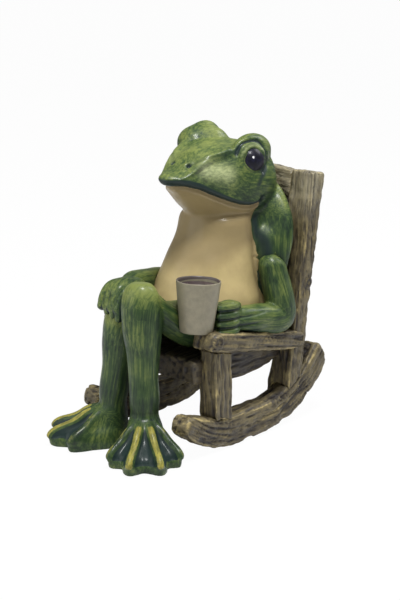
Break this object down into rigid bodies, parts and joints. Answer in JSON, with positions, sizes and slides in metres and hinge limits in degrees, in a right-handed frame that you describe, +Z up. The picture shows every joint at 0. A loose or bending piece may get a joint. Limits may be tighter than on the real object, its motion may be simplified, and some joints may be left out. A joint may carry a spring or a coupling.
{
  "type": "frog figurine",
  "caption": "Painted resin frog seated in a rustic log rocking chair, holding a cup on the armrest; a free-standing ornament resting on its webbed feet and the chair's rockers",
  "frame": {"origin": "on the floor, under the middle of the bounding box", "axes": "+Z up, the frog faces -Y, its own left side is +X"},
  "size_m": [0.0697, 0.1179, 0.1299],
  "materials": {
    "weathered_log": "cast resin log texture, dark wash in the grooves and olive dry brush on the ridges, satin",
    "frog_green": "cast resin painted in green brush strokes, clear gloss coat",
    "belly_cream": "cast resin painted cream at the front and green at the back, clear gloss coat",
    "eye_navy": "near black gloss with a small white glint",
    "cup_grey": "cast resin painted warm grey, satin",
    "coffee_brown": "dark brown paint, gloss"
  },
  "bodies": {
    "root": {"armrest_left": "weathered_log", "armrest_right": "weathered_log", "back_post_left": "weathered_log", "back_post_right": "weathered_log", "back_slat_left": "weathered_log", "back_slat_middle": "weathered_log", "back_slat_right": "weathered_log", "coffee": "coffee_brown", "crest_rail": "weathered_log", "cup": "cup_grey", "eye_left": "eye_navy", "eye_right": "eye_navy", "foot_left": "frog_green", "foot_right": "frog_green", "forearm_left": "frog_green", "forearm_right": "frog_green", "front_post_left": "weathered_log", "front_post_right": "weathered_log", "hand_left": "frog_green", "hand_right": "frog_green", "head": "frog_green", "rocker_left": "weathered_log", "rocker_right": "weathered_log", "seat": "weathered_log", "shin_left": "frog_green", "shin_right": "frog_green", "thigh_left": "frog_green", "thigh_right": "frog_green", "torso": "belly_cream", "upper_arm_left": "frog_green", "upper_arm_right": "frog_green"}
  },
  "joints": []
}
